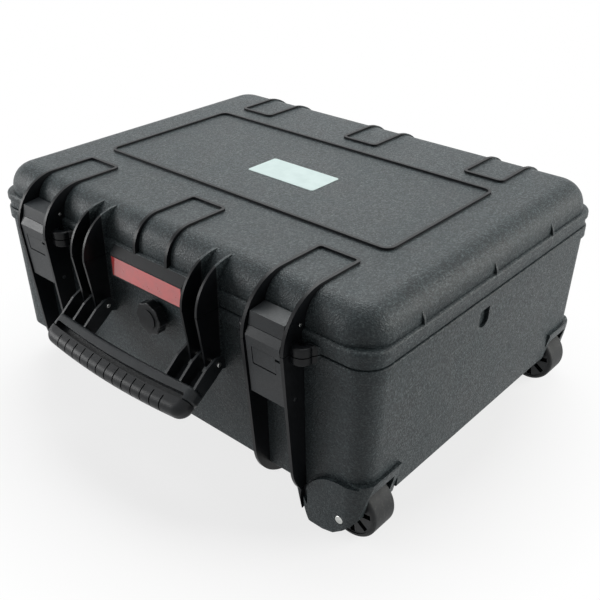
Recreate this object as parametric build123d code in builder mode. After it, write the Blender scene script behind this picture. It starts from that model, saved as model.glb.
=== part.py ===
from build123d import *
from math import asin, cos, degrees, radians, sin, sqrt
import os

os.makedirs("parts", exist_ok=True)

# A wheeled hard case for laptops: an injection-moulded base and a hinged lid, with two
# latches, a front handle, a pressure valve, two wheels and a telescopic pull handle.
# X runs along the long side with the wheels at +X, the front with the latches faces -Y,
# and Z = 0 is the floor that the wheels and the feet stand on.

# ---- driving dimensions, millimetres ----
rim_length = 594.0  # outside of the rim along X
rim_width = 455.0  # outside of the rim along Y
rim_corner = 30.0
corner_block = 38.0  # each half is divided this far in from the outside of the rim
parting_height = 221.0  # joint between lid and base above the floor
base_depth = 173.4  # parting line down to the underside of the base
lid_rise = 54.7  # parting line up to the flat top
wall = 4.5
seal_gap = 0.6  # lid to base at the parting line

flange_height = 14.0  # band under the parting line on the base
flange_step = 3.0  # flange stands this far out of the base wall
flange_round = 2.0  # along its top edge
flange_under_round = 1.0
base_draft = 1.8  # degrees
foot_round = 2.5  # round along the base's lower edge

bead_height = 20.0  # top of the bead on the lid, above the parting line
bead_low = 9.4  # lower edge of the bead
bead_round = 4.0
bead_under_round = 2.5
band_step = 2.0  # band under the bead, set back from it
band_round = 1.0
dome_step = 4.5  # dome stands this far inside the band
dome_corner = 36.0
roll_radius = 30.0  # round between the lid's top and its sides

ridge_height = 3.0  # raised lines on the top
ridge_width = 3.4
lid_wall_inset = 10.0  # inside of the lid's band from its outside
panel_length = 441.0  # raised frame on the top
panel_width = 204.0
panel_corner = 12.0
front_u_start = 138.0  # centre line to the closed end of the front loops
back_u_start = 134.0
loop_corner = 7.0
leg_overlap = 8.0  # legs of the loops start this far in from the edge of the top
fin_start = 10.0  # fins start this far past it

station = 187.5  # centre line to each outer hinge, and to each latch
rib_spread = 51.5  # between the two ribs of one latch or hinge
rib_width = 3.8
rib_out = 26.0  # latch ribs stand this far out of the rim at the parting line
rib_knee_in = 4.0  # and this much less at the bend in their outer edge
rib_foot_out = 12.5  # and this far out near the underside
rib_foot_drop = 147.0  # where the rib's lower end starts to round off
skid_middle_drop = 176.0  # rounded end where it passes under the rim's outside
skid_length = 46.0  # lowest point of the end, behind the rim's outside
skid_drop = 197.0
skid_ramp = 28.0  # from there back up to the underside
knee_drop = 45.0  # bend in the outer edge of ribs and fins
fin_knee_in = 6.5

fin_width = 3.0
fin_inner = 80.5  # centre line to the inner fin beside the handle
fin_outer = 102.5
fin_out = 30.5
fin_height = 52.0
middle_foot_out = 1.0  # ribs of the middle front loop, in front of the rim
middle_foot_rise = 17.0
middle_sweep = 36.0

hinge_out = 9.0  # hinge axis behind the rim
knuckle_radius = 8.0
hinge_pin_radius = 3.0
hinge_rib_drop = 112.0  # lower end of the base's hinge ribs
hinge_knee_drop = 60.0
hinge_taper = 5.0
hinge_gap = 0.5  # between knuckles side by side
running_gap = 0.05  # radial, between a turning piece and its pin
pin_chamfer = 0.4

tab_radius = 12.5  # padlock eyes
tab_reach = 5.0  # eye's centre from the side of its rib
tab_out = 5.0  # eye's centre in front of the rim
tab_thick = 9.0
tab_flare = 6.0  # eye widens towards the wall
tab_round = 2.5
padlock_hole = 4.5  # radius

latch_width = 44.0
latch_out = 25.0  # crease of the flap in front of the rim
latch_crease = 6.0  # above the parting line
latch_lean = 6.6  # lower end of the flap stands this much nearer to the rim than the crease
latch_bottom = 63.5  # below the parting line
latch_top = 14.8  # head above the parting line
head_lean = 4.5  # top of the head stands this far behind the crease
latch_depth = 12.5
latch_skin = 3.0
latch_cheek = 3.0
latch_round = 1.2
latch_pin_out = 8.5
latch_pin_drop = 55.5
latch_pin_radius = 2.5
latch_boss = 6.5
sleeve_radius = 5.0
button_width = 31.0
button_top = 5.0  # below the parting line
button_bottom = 26.0
button_thick = 2.6
button_sink = 0.4  # face of the button under the face of the flap
button_gap = 0.6
button_drop_gap = 1.2  # under the button, for its swing
catch_width = 5.0  # small slot beside the button
catch_height = 3.0
trigger_pin_radius = 1.8
trigger_pin_out = 15.0
trigger_pin_rise = 8.0
trigger_hub = 3.0
trigger_end_gap = 0.5
arm_width = 26.0
arm_thick = 3.0
block_gap = 0.7  # between the head of the lever and the block of the trigger
block_rise = 29.0  # front edge of the block above the parting line
block_top = 31.3
block_lean = 3.2
block_wall = 3.0
striker_out = 1.5
striker_rise = 25.0
striker_radius = 2.0
hook_gap = 0.4  # over the striker
lip_catch = 0.8  # lip reaches this far under the striker's top
lip_gap = 0.8  # behind the striker
lip_thick = 1.9

handle_drop = 58.0  # pivot under the parting line
handle_out = 13.5  # pivot in front of the rim
handle_sag = 32.0  # degrees under the horizontal, resting on its stop
handle_pin_radius = 2.5
arm_inner = 68.0
arm_outer = 114.0
arm_rib = 3.0
arm_half = 10.5
arm_boss = 9.0
arm_neck = 4.0  # from the boss to the full height of an arm
arm_web = 3.0
arm_end_top = 6.5  # where an arm enters the bar
arm_end_bottom = 11.5
arm_bite = 6.0
grip_near = 34.0  # pivot to the finger side of the bar
near_bow = 3.5
near_round = 4.0
slot_near = 43.5  # pivot to the slot along the bar
grip_split = 50.5  # pivot to the joint between the core and the rubber, at the slot's far side
slot_depth = 12.0
slot_half_length = 108.0
slot_round = 3.0
grip_far = 68.0  # pivot to the outside of the grip
grip_bow = 6.0
grip_half_length = 117.0
grip_corner = 15.0
grip_top = 9.5
grip_bottom = 14.5
grip_round = 10.0
groove_count = 13
groove_pitch = 14.5
groove_width = 1.6
groove_depth = 1.0
groove_start = 6.5  # grooves begin this far from the slot

plate_length = 114.0
plate_height = 23.0
plate_thick = 1.2
plate_drop = 15.0  # lower edge of the plate under the parting line
plate_frame = 1.8
plate_boss_out = 9.5
plate_boss_gap = 0.8  # behind the boss, where it passes the base
plate_slope_top = 19.0  # sloped top of the boss, above the parting line
plate_slope_low = 10.0

label_length = 104.0
label_width = 50.0
label_thick = 0.5
label_corner = 3.0
label_x = 10.0
label_y = -9.0

valve_drop = 50.0
valve_radius = 20.0
valve_knob_thick = 11.0
valve_lobes = 8
lobe_radius = 6.5
lobe_height = 1.4
knob_round = 1.2
knob_cap_inset = 8.0  # raised middle of the knob, in from its outside
valve_sleeve = 2.0  # wall round the stem
valve_clear = 1.0  # between the knob and the flange under it
valve_stem = 7.0
valve_flange = 13.0
valve_boss_out = 3.0
valve_cap_thick = 2.5
valve_seal_thick = 1.0

gasket_radius = 1.8
gasket_inset = 5.8
gasket_round = 1.1
groove_depth_in_lid = 8.0
tongue_width = 2.0
rest_gap = 0.3  # between soft or curved faces that meet when shut

wheel_radius = 32.5
wheel_width = 36.0
wheel_inset = 19.5  # outer face of the wheel inside the rim
wheel_gap = 3.0
wheel_room = 4.0  # round the tread
tread_thick = 5.0
tread_round = 4.0
hub_boss = 10.0
hub_inset = 1.0
hub_slot_count = 8
hub_slot_radius = 19.5
hub_slot_turn = 10.0  # degrees, first slot above the level
hub_slot_length = 13.0
hub_slot_width = 6.0
hub_slot_depth = 12.0
axle_radius = 5.0
axle_inset = 1.0
axle_chamfer = 0.6
housing_out = 1.5  # cheek inside the rim's outline
housing_end = 3.5  # housing inside the rim at the wheel end
housing_corner = 28.0
housing_back = 57.0  # wheel's axis to the inner end of the housing
housing_clear = 7.0  # housing above the floor
housing_steps = [(-49.5, 11.0), (-40.5, 0.0), (-21.5, 0.0), (-7.5, 3.5), (5.0, 14.0), (14.5, 24.5),
                 (20.0, 32.5), (21.5, 40.0), (24.0, 51.0)]  # from the axis, above the lowest edge
housing_round = 7.0
cheek_radius = 47.0
arch_gap = 3.4  # open line round the cheek
arch_gap_depth = 6.0
inner_cheek = 8.0
brace_back = 53.0  # pocket in the cheek, from the wheel's axis
brace_front = 42.2
brace_drop = 21.0
brace_depth = 4.0

notch_y = -23.5  # notch in the wall at the wheel end
notch_width = 19.0
notch_top = 15.0  # below the parting line
notch_bottom = 40.0
notch_slant = 3.0
notch_depth = 5.0
gusset_ys = [-143.0, -10.0, 115.0]
gusset_rise = 33.0
gusset_low = 17.0

foot_length = 46.0
foot_width = 44.0
foot_inset = 35.0  # middle of a foot from the end of the rim
foot_side = 67.5  # and from its side
foot_corner = 6.0
foot_taper = 8.0  # degrees
pad_thick = 5.0
pad_inset = 12.0

tube_y = 105.0
tube_width = 26.0
tube_height = 16.0
tube_wall = 1.4
tube_slip = 0.5  # between nested tubes
tube_level = 28.0
tube_inset = 35.0  # mouth of the tubes from the end of the rim
tube_length = 420.0
tube_corner = 3.0
tube_inner_corner = 1.5
tray_length = 430.0
tray_width = 250.0
tray_floor = 4.0
tray_wall = 4.0
tray_bottom = 16.0
tray_round = 5.0
grip_bar_height = 24.0
grip_bar_depth = 22.0
grip_bar_over = 16.0
grip_bar_corner = 8.0
grip_bar_round = 5.0
pull_button_length = 44.0
pull_button_height = 12.0
pull_button_travel = 4.0
pull_button_depth = 9.0
pull_button_corner = 2.4
pull_button_round = 1.5
collar_length = 4.0  # at the mouth of each middle tube
tube_end_gap = 10.0
grip_bar_gap = 15.5  # mouth of the tubes to the middle of the grip bar
grip_bar_bite = -6.0
screw_head_thick = 2.4
tray_lip = 12.0
tray_lip_thick = 4.0
screw_head_radius = 4.0
screw_radius = 2.0
screw_bite = 3.5  # into the floor of the base
screw_steps = [22.0, 212.0, 402.0]  # from the mouth of the tubes

foam_gap = 2.0
pocket_length = 400.0
pocket_width = 292.0
pocket_depth = 70.0
pocket_divider = 20.0
side_pocket_length = 96.0
side_pocket_depth = 112.0
pocket_corner = 5.0
lid_foam_thick = 34.0

overcut = 1.0  # cutters run this far past a face

# ---- worked out from the driving dimensions ----
half_length = rim_length / 2
half_width = rim_width / 2
underside = parting_height - base_depth
foot_x = foot_inset - half_length
foot_y = half_width - foot_side
tube_start = tube_inset - half_length
grip_bar_x = tube_start - grip_bar_gap
screw_xs = [tube_start + step for step in screw_steps]
top = parting_height + lid_rise
ridge_top = top + ridge_height
lid_bottom = parting_height + seal_gap
sag_cos = cos(radians(handle_sag))
sag_sin = sin(radians(handle_sag))
front_reach = (half_width + handle_out + (grip_far + grip_bow - grip_round) * sag_cos
               + (grip_top - grip_round) * sag_sin + grip_round)
back_reach = half_width + hinge_out + knuckle_radius
case_y = (front_reach - back_reach) / 2  # puts the middle of the whole outline at Y = 0


def level(height):
    """Horizontal plane over the middle of the case."""
    return Plane(origin=(0, case_y, height))


def section(x):
    """Upright plane across the case: drawn as (Y, Z), facing +X."""
    return Plane(origin=(x, case_y, 0), x_dir=(0, 1, 0), z_dir=(1, 0, 0))


def facing(y):
    """Upright plane along the case: drawn as (X, Z), facing the front."""
    return Plane(origin=(0, case_y + y, 0), x_dir=(1, 0, 0), z_dir=(0, -1, 0))


latch_rib_xs = [s * (station + k * rib_spread / 2) for s in (-1, 1) for k in (-1, 1)]
fin_xs = [s * x for s in (-1, 1) for x in (fin_inner, fin_outer)]
hinge_stations = [-station, 0, station]
lid_hinge_xs = [c + k * rib_spread / 2 for c in hinge_stations for k in (-1, 1)]
knuckle_step = rib_width + hinge_gap
base_hinge_xs = [c + k * (rib_spread / 2 - knuckle_step) for c in hinge_stations for k in (-1, 1)]

flange_bottom = parting_height - flange_height
wall_half_length = half_length - flange_step
wall_half_width = half_width - flange_step
roll_y = half_width - dome_step - roll_radius  # where the top starts to roll over
rib_reach = half_width + rib_out
fin_reach = half_width + fin_out
hinge_y = half_width + hinge_out
hinge_reach = hinge_y + knuckle_radius
rib_sweep = ridge_top - lid_bottom
wheel_x = half_length - wheel_radius
wheel_outer_y = half_width - wheel_inset
wheel_inner_y = wheel_outer_y - wheel_width
housing_outer_y = half_width - housing_out
housing_inner_y = wheel_inner_y - wheel_gap - inner_cheek
housing_x = half_length - housing_end
housing_start = wheel_x - housing_back
cheek_top = wheel_radius + cheek_radius
handle_y = half_width + handle_out
handle_z = parting_height - handle_drop
valve_z = parting_height - valve_drop
latch_pin_y = half_width + latch_pin_out
latch_pin_z = parting_height - latch_pin_drop
striker_y = half_width + striker_out
striker_z = parting_height + striker_rise


def cheek_outline(grow, mode=Mode.ADD):
    """Upper outline of a wheel housing, open to the wheel end, grown by a gap."""
    with Locations((wheel_x, wheel_radius)):
        Circle(cheek_radius + grow, mode=mode)
    reach = half_length + rib_out - wheel_x
    with Locations((wheel_x + reach / 2, (cheek_top + grow) / 2)):
        Rectangle(reach, cheek_top + grow, mode=mode)


def eye_outline():
    """Padlock eyes beside the latch ribs, wider towards the wall."""
    for x in latch_rib_xs:
        outward = 1 if (abs(x) > station) == (x > 0) else -1
        eye_x = x + outward * (rib_width / 2 + tab_reach)
        with Locations((eye_x, -half_width - tab_out)):
            Circle(tab_radius)
        with BuildLine() as edge:
            Polyline((x, -half_width - tab_out), (eye_x + outward * tab_radius, -half_width - tab_out),
                     (eye_x + outward * (tab_radius + tab_flare), -half_width + wall),
                     (x, -half_width + wall), close=True)
        make_face(edge.edges())
        with Locations((x - outward * tab_radius, -half_width)):
            Rectangle(2 * tab_radius, 4 * tab_radius, mode=Mode.SUBTRACT)


# where each half of the case is divided: between its flat walls and its rounded corners,
# and beside the latches and outer hinges
latch_block = station - rib_spread / 2 - rib_width
moulding_cuts = [section(-half_length + corner_block), section(-latch_block),
                 section(latch_block), section(half_length - corner_block),
                 facing(-half_width + corner_block), facing(half_width - corner_block)]

# ---- base: a drafted tub with a flange, ribs for latches, handle and hinges ----
with BuildPart() as wheel_wells:
    for side in (-1, 1):
        with BuildSketch(facing(side * (housing_inner_y - wall))):
            cheek_outline(arch_gap + wall)
        extrude(amount=-side * half_width)

with BuildPart() as base_cavity:
    with BuildSketch(level(parting_height)):
        RectangleRounded(2 * (wall_half_length - wall), 2 * (wall_half_width - wall),
                         rim_corner - flange_step - wall)
    extrude(amount=-(base_depth - wall), taper=base_draft)
    add(wheel_wells.part, mode=Mode.SUBTRACT)
    # thicker wall behind the notch at the wheel end
    with BuildSketch(level(parting_height)):
        with Locations((wall_half_length - wall, notch_y)):
            Rectangle(2 * notch_depth, notch_width + 2 * wall)
    extrude(amount=-(notch_bottom + wall), mode=Mode.SUBTRACT)

with BuildPart() as base_flange:
    with BuildSketch(level(flange_bottom)):
        RectangleRounded(rim_length, rim_width, rim_corner)
    extrude(amount=flange_height)
    fillet(base_flange.edges().group_by(Axis.Z)[0], radius=flange_under_round)
    fillet(base_flange.edges().group_by(Axis.Z)[-1], radius=flange_round)

with BuildPart() as base_eyes:
    with BuildSketch(level(parting_height - tab_thick - seal_gap)):
        eye_outline()
    extrude(amount=tab_thick)
    fillet(base_eyes.edges().group_by(Axis.Z)[0], radius=tab_round)

with BuildPart() as base_shell:
    with BuildSketch(level(flange_bottom)):
        RectangleRounded(2 * wall_half_length, 2 * wall_half_width, rim_corner - flange_step)
    extrude(amount=-(flange_bottom - underside), taper=base_draft)
    fillet(base_shell.edges().group_by(Axis.Z)[0], radius=foot_round)
    add(base_flange.part)

    # ribs on both sides of each latch, each with a rounded skid under the base's edge
    with BuildSketch(*[section(x) for x in latch_rib_xs]):
        with BuildLine():
            rib_edge = Polyline((-wall_half_width + wall, parting_height), (-rib_reach, parting_height),
                                (-rib_reach + rib_knee_in, parting_height - knee_drop),
                                (-half_width - rib_foot_out, parting_height - rib_foot_drop))
            skid = ThreePointArc(rib_edge @ 1, (-half_width, parting_height - skid_middle_drop),
                                 (-half_width + skid_length, parting_height - skid_drop))
            Polyline(skid @ 1, (-half_width + skid_length + skid_ramp, underside + wall / 2),
                     (-wall_half_width + wall, parting_height - flange_height), rib_edge @ 0)
        make_face()
    extrude(amount=rib_width / 2, both=True)

    # fins that carry the handle's pins
    with BuildSketch(*[section(x) for x in fin_xs]):
        with BuildLine():
            Polyline((-wall_half_width + wall, parting_height), (-fin_reach, parting_height),
                     (-fin_reach + fin_knee_in, parting_height - knee_drop),
                     (-handle_y - arm_boss, handle_z - 3),
                     (-handle_y, handle_z - arm_boss - 3),
                     (-half_width + wall, handle_z - 2 * arm_boss),
                     (-wall_half_width + wall, handle_z - 2 * arm_boss), close=True)
        make_face()
    extrude(amount=fin_width / 2, both=True)

    # hinge ribs with their knuckles
    with BuildSketch(*[section(x) for x in base_hinge_xs]):
        with Locations((hinge_y, parting_height)):
            Circle(knuckle_radius)
        with BuildLine():
            Polyline((wall_half_width - wall, parting_height - flange_height),
                     (hinge_y - hinge_taper, parting_height),
                     (hinge_reach, parting_height),
                     (hinge_reach - hinge_taper, parting_height - hinge_knee_drop),
                     (wall_half_width - flange_step, parting_height - hinge_rib_drop),
                     (wall_half_width - 2 * wall, parting_height - hinge_rib_drop), close=True)
        make_face()
    extrude(amount=rib_width / 2, both=True)

    # padlock eyes beside the latches
    add(base_eyes.part)

    # boss round the pressure valve
    with BuildSketch(facing(-half_width + 2 * wall)):
        with Locations((0, valve_z)):
            Circle(valve_flange + valve_sleeve)
    extrude(amount=2 * wall + valve_boss_out - flange_step)

    add(base_cavity.part, mode=Mode.SUBTRACT)

    # tongue that presses on the seal
    with BuildSketch(level(parting_height)):
        tongue = rim_corner - gasket_inset + tongue_width / 2
        RectangleRounded(rim_length - 2 * gasket_inset + tongue_width,
                         rim_width - 2 * gasket_inset + tongue_width, tongue)
        RectangleRounded(rim_length - 2 * gasket_inset - tongue_width,
                         rim_width - 2 * gasket_inset - tongue_width, tongue - tongue_width,
                         mode=Mode.SUBTRACT)
    extrude(amount=seal_gap + groove_depth_in_lid - 2 * gasket_radius - rest_gap)

    # recesses for the wheel housings
    for side in (-1, 1):
        with BuildSketch(facing(side * housing_inner_y)):
            cheek_outline(arch_gap)
        extrude(amount=-side * half_width, mode=Mode.SUBTRACT)
        # the nearest skid stops in front of the housing
        with BuildSketch(facing(side * (housing_outer_y + rest_gap))):
            with Locations((housing_start - rest_gap, 0)):
                Rectangle(half_length - housing_start, underside, align=(Align.MIN, Align.MIN))
        extrude(amount=side * half_width, mode=Mode.SUBTRACT)

    # bores: padlocks, latch pins, handle pins, hinge pins, valve
    with BuildSketch(level(parting_height - tab_thick - seal_gap)):
        for x in latch_rib_xs:
            outward = 1 if (abs(x) > station) == (x > 0) else -1
            with Locations((x + outward * (rib_width / 2 + tab_reach), -half_width - tab_out)):
                Circle(padlock_hole)
    extrude(amount=tab_thick, mode=Mode.SUBTRACT)
    for side in (-1, 1):
        with BuildSketch(section(side * station)):
            with Locations((-latch_pin_y, latch_pin_z)):
                Circle(latch_pin_radius)
        extrude(amount=rib_spread / 2 + rib_width, both=True, mode=Mode.SUBTRACT)
    with BuildSketch(section(0)):
        with Locations((-handle_y, handle_z)):
            Circle(handle_pin_radius)
    extrude(amount=fin_outer + fin_width, both=True, mode=Mode.SUBTRACT)
    with BuildSketch(section(0)):
        with Locations((hinge_y, parting_height)):
            Circle(hinge_pin_radius)
    extrude(amount=half_length, both=True, mode=Mode.SUBTRACT)
    with BuildSketch(facing(-half_width + 4 * wall)):
        with Locations((0, valve_z)):
            Circle(valve_stem + valve_sleeve)
    extrude(amount=4 * wall + valve_boss_out, mode=Mode.SUBTRACT)
    # notch in the wall at the wheel end
    with BuildSketch(section(wall_half_length)):
        with BuildLine():
            Polyline((notch_y - notch_width / 2, parting_height - notch_top - notch_slant),
                     (notch_y + notch_width / 2, parting_height - notch_top),
                     (notch_y + notch_width / 2, parting_height - notch_bottom + notch_width / 2),
                     (notch_y - notch_width / 2, parting_height - notch_bottom + notch_width / 2),
                     close=True)
        make_face()
        with Locations((notch_y, parting_height - notch_bottom + notch_width / 2)):
            Circle(notch_width / 2)
    extrude(amount=-notch_depth, mode=Mode.SUBTRACT)
    # blind bores for the screws of the tray
    with BuildSketch(level(underside)):
        for x in screw_xs:
            with Locations((x, -(tray_width + tray_lip) / 2), (x, (tray_width + tray_lip) / 2)):
                Circle(screw_radius)
    extrude(amount=screw_bite, mode=Mode.SUBTRACT)
    # floor, walls and corners, which meet face to face
    for cut in moulding_cuts:
        split(bisect_by=cut, keep=Keep.BOTH)
base_shell.part.label = "base_shell"
export_step(base_shell.part, "parts/base_shell.step")


def ring_outline(inset, width, corner):
    """Band that follows the rim, its middle line set in from the rim's outside."""
    RectangleRounded(rim_length - 2 * inset + width, rim_width - 2 * inset + width,
                     corner - inset + width / 2)
    RectangleRounded(rim_length - 2 * inset - width, rim_width - 2 * inset - width,
                     corner - inset - width / 2, mode=Mode.SUBTRACT)


def leg_outline(side, start, foot, sweep):
    """Rib that leaves the top, sweeps over the edge in a quarter round and ends at the lid's rim."""
    with BuildLine() as leg:
        Line((side * start, lid_bottom + sweep), (side * (foot - sweep), lid_bottom + sweep))
        CenterArc((side * (foot - sweep), lid_bottom), sweep, 90, -side * 90)
        Polyline((side * start, lid_bottom + sweep), (side * start, top - roll_radius),
                 (side * (half_width - 2 * wall), lid_bottom), (side * foot, lid_bottom))
    make_face(leg.edges())


# ---- lid: a domed shell with a banded rim, raised loops and fins ----
with BuildPart() as lid_cavity:
    with BuildSketch(level(lid_bottom)):
        RectangleRounded(rim_length - 2 * lid_wall_inset, rim_width - 2 * lid_wall_inset,
                         dome_corner - wall)
    extrude(amount=top - wall - lid_bottom)
    fillet(lid_cavity.edges().group_by(Axis.Z)[-1], radius=roll_radius - wall)

with BuildPart() as lid_dome:
    with BuildSketch(level(lid_bottom)):
        RectangleRounded(rim_length - 2 * dome_step, rim_width - 2 * dome_step, dome_corner)
    extrude(amount=top - lid_bottom)
    fillet(lid_dome.edges().group_by(Axis.Z)[-1], radius=roll_radius)

with BuildPart() as lid_band:
    with BuildSketch(level(lid_bottom)):
        RectangleRounded(rim_length - 2 * band_step, rim_width - 2 * band_step, rim_corner - band_step)
    extrude(amount=bead_height - seal_gap - bead_round)
    fillet(lid_band.edges().group_by(Axis.Z)[0], radius=band_round)

with BuildPart() as lid_bead:
    with BuildSketch(level(parting_height + bead_low)):
        RectangleRounded(rim_length, rim_width, rim_corner)
    extrude(amount=bead_height - bead_low)
    fillet(lid_bead.edges().group_by(Axis.Z)[0], radius=bead_under_round)
    fillet(lid_bead.edges().group_by(Axis.Z)[-1], radius=bead_round)

with BuildPart() as lid_eyes:
    with BuildSketch(level(lid_bottom)):
        eye_outline()
    extrude(amount=tab_thick)
    fillet(lid_eyes.edges().group_by(Axis.Z)[-1], radius=tab_round)

with BuildPart() as lid_shell:
    add(lid_band.part)
    add(lid_bead.part)
    add(lid_dome.part)

    # raised frame and the closed ends of the six loops on the top
    with BuildSketch(level(top)):
        RectangleRounded(panel_length + ridge_width, panel_width + ridge_width, panel_corner)
        RectangleRounded(panel_length - ridge_width, panel_width - ridge_width,
                         panel_corner - ridge_width, mode=Mode.SUBTRACT)
        for side, start in ((-1, front_u_start), (1, back_u_start)):
            loop_length = 2 * (roll_y - start) + rib_width
            for x in hinge_stations:
                with Locations((x, side * (start - rib_width / 2 + loop_length / 2))):
                    RectangleRounded(rib_spread + rib_width, loop_length, loop_corner)
                    RectangleRounded(rib_spread - rib_width, loop_length - 2 * rib_width,
                                     loop_corner - rib_width, mode=Mode.SUBTRACT)
            with Locations((0, side * (roll_y + half_width))):
                Rectangle(rim_length, rim_width, mode=Mode.SUBTRACT)
    extrude(amount=ridge_height)

    # legs of the loops: latch stations in front, hinge stations at the back
    with BuildSketch(*[section(x) for x in latch_rib_xs]):
        leg_outline(-1, roll_y - leg_overlap, rib_reach, rib_sweep)
    extrude(amount=rib_width / 2, both=True)
    with BuildSketch(*[section(x) for x in lid_hinge_xs]):
        leg_outline(1, roll_y - leg_overlap, hinge_reach, rib_sweep)
        with Locations((hinge_y, parting_height)):
            Circle(knuckle_radius)
    extrude(amount=rib_width / 2, both=True)
    # the middle front loop ends in two thin fins that stand on the bead
    middle_foot = half_width + middle_foot_out
    with BuildSketch(*[section(k * rib_spread / 2) for k in (-1, 1)]):
        with BuildLine():
            Line((-roll_y + bead_round, ridge_top), (middle_sweep - middle_foot, ridge_top))
            CenterArc((middle_sweep - middle_foot, ridge_top - middle_sweep), middle_sweep, 90, 90)
            Polyline((-middle_foot, ridge_top - middle_sweep),
                     (-middle_foot, parting_height + middle_foot_rise),
                     (-half_width + 2 * wall, parting_height + middle_foot_rise),
                     (-roll_y + bead_round, top - roll_radius), (-roll_y + bead_round, ridge_top))
        make_face()
    extrude(amount=rib_width / 2, both=True)

    # fins over the handle
    with BuildSketch(*[section(x) for x in fin_xs]):
        leg_outline(-1, roll_y + fin_start, fin_reach, fin_height - seal_gap)
    extrude(amount=fin_width / 2, both=True)

    # boss that carries the name plate in front of the parting line, with a sloped top
    with BuildSketch(section(0)):
        with BuildLine():
            Polyline((-half_width + wall, parting_height + plate_slope_top),
                     (-half_width, parting_height + plate_slope_top),
                     (-half_width - plate_boss_out, parting_height + plate_slope_low),
                     (-half_width - plate_boss_out, parting_height - plate_drop - plate_frame),
                     (-half_width - plate_boss_gap, parting_height - plate_drop - plate_frame),
                     (-half_width - plate_boss_gap, lid_bottom), (-half_width + wall, lid_bottom),
                     close=True)
        make_face()
    extrude(amount=plate_length / 2 + plate_frame, both=True)
    with BuildSketch(facing(-half_width - plate_boss_out)):
        with Locations((0, parting_height - plate_drop + plate_height / 2)):
            Rectangle(plate_length, plate_height)
    extrude(amount=-plate_thick, mode=Mode.SUBTRACT)

    # padlock eyes over those of the base
    add(lid_eyes.part)

    # small gussets between the dome and the bead at both ends
    with BuildSketch(*[facing(y) for y in gusset_ys]):
        for side in (-1, 1):
            with BuildLine():
                Polyline((side * (half_length - middle_foot_out), parting_height + gusset_low),
                         (side * (half_length - band_step), top - roll_radius),
                         (side * (half_length - dome_step - band_step / 2), parting_height + gusset_rise),
                         (side * (half_length - 3 * dome_step), parting_height + gusset_rise),
                         (side * (half_length - 3 * dome_step), parting_height + gusset_low), close=True)
            make_face()
    extrude(amount=fin_width / 2, both=True)

    add(lid_cavity.part, mode=Mode.SUBTRACT)

    # groove for the seal, bores for padlocks, strikers and hinge pins
    with BuildSketch(level(lid_bottom)):
        ring_outline(gasket_inset, 2 * gasket_radius + rest_gap, rim_corner)
    extrude(amount=groove_depth_in_lid, mode=Mode.SUBTRACT)
    with BuildSketch(level(lid_bottom)):
        for x in latch_rib_xs:
            outward = 1 if (abs(x) > station) == (x > 0) else -1
            with Locations((x + outward * (rib_width / 2 + tab_reach), -half_width - tab_out)):
                Circle(padlock_hole)
    extrude(amount=tab_thick, mode=Mode.SUBTRACT)
    for side in (-1, 1):
        with BuildSketch(section(side * station)):
            with Locations((-striker_y, striker_z)):
                Circle(striker_radius)
        extrude(amount=rib_spread / 2 + rib_width, both=True, mode=Mode.SUBTRACT)
    with BuildSketch(section(0)):
        with Locations((hinge_y, parting_height)):
            Circle(hinge_pin_radius + running_gap)
    extrude(amount=half_length, both=True, mode=Mode.SUBTRACT)
    # top, walls and corners, which meet face to face
    for cut in moulding_cuts:
        split(bisect_by=cut, keep=Keep.BOTH)
lid_shell.part.label = "lid_shell"
export_step(lid_shell.part, "parts/lid_shell.step")

# ---- seal in the lid's groove, hinge pins, strikers ----
with BuildPart() as lid_gasket:
    seal_z = lid_bottom + groove_depth_in_lid - gasket_radius
    with BuildSketch(level(seal_z - gasket_radius)):
        ring_outline(gasket_inset, 2 * gasket_radius, rim_corner)
    extrude(amount=2 * gasket_radius)
    fillet(lid_gasket.edges().group_by(Axis.Z)[0] + lid_gasket.edges().group_by(Axis.Z)[-1],
           radius=gasket_round)
lid_gasket.part.label = "lid_gasket"
export_step(lid_gasket.part, "parts/lid_gasket.step")

with BuildPart() as hinge_pins:
    for x in hinge_stations:
        with BuildSketch(section(x)):
            with Locations((hinge_y, parting_height)):
                Circle(hinge_pin_radius)
        extrude(amount=rib_spread / 2 + rib_width / 2, both=True)
    chamfer(hinge_pins.edges().filter_by(GeomType.CIRCLE), length=pin_chamfer)
hinge_pins.part.label = "hinge_pins"
export_step(hinge_pins.part, "parts/hinge_pins.step")

with BuildPart() as latch_strikers:
    for side in (-1, 1):
        with BuildSketch(section(side * station)):
            with Locations((-striker_y, striker_z)):
                Circle(striker_radius)
        extrude(amount=rib_spread / 2 + rib_width / 2, both=True)
    chamfer(latch_strikers.edges().filter_by(GeomType.CIRCLE), length=pin_chamfer)
latch_strikers.part.label = "latch_strikers"
export_step(latch_strikers.part, "parts/latch_strikers.step")

with BuildPart() as latch_pins:
    for side in (-1, 1):
        with BuildSketch(section(side * station)):
            with Locations((-latch_pin_y, latch_pin_z)):
                Circle(latch_pin_radius)
        extrude(amount=rib_spread / 2 + rib_width / 2, both=True)
    chamfer(latch_pins.edges().filter_by(GeomType.CIRCLE), length=pin_chamfer)
latch_pins.part.label = "latch_pins"
export_step(latch_pins.part, "parts/latch_pins.step")

# ---- label and name plate, both bare ----
with BuildPart() as lid_label:
    with BuildSketch(level(top)):
        with Locations((label_x, label_y)):
            RectangleRounded(label_length, label_width, label_corner)
    extrude(amount=label_thick)
lid_label.part.label = "lid_label"
export_step(lid_label.part, "parts/lid_label.step")

with BuildPart() as name_plate:
    with BuildSketch(facing(-half_width - plate_boss_out + plate_thick)):
        with Locations((0, parting_height - plate_drop + plate_height / 2)):
            Rectangle(plate_length, plate_height)
    extrude(amount=plate_thick)
name_plate.part.label = "name_plate"
export_step(name_plate.part, "parts/name_plate.step")

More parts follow.
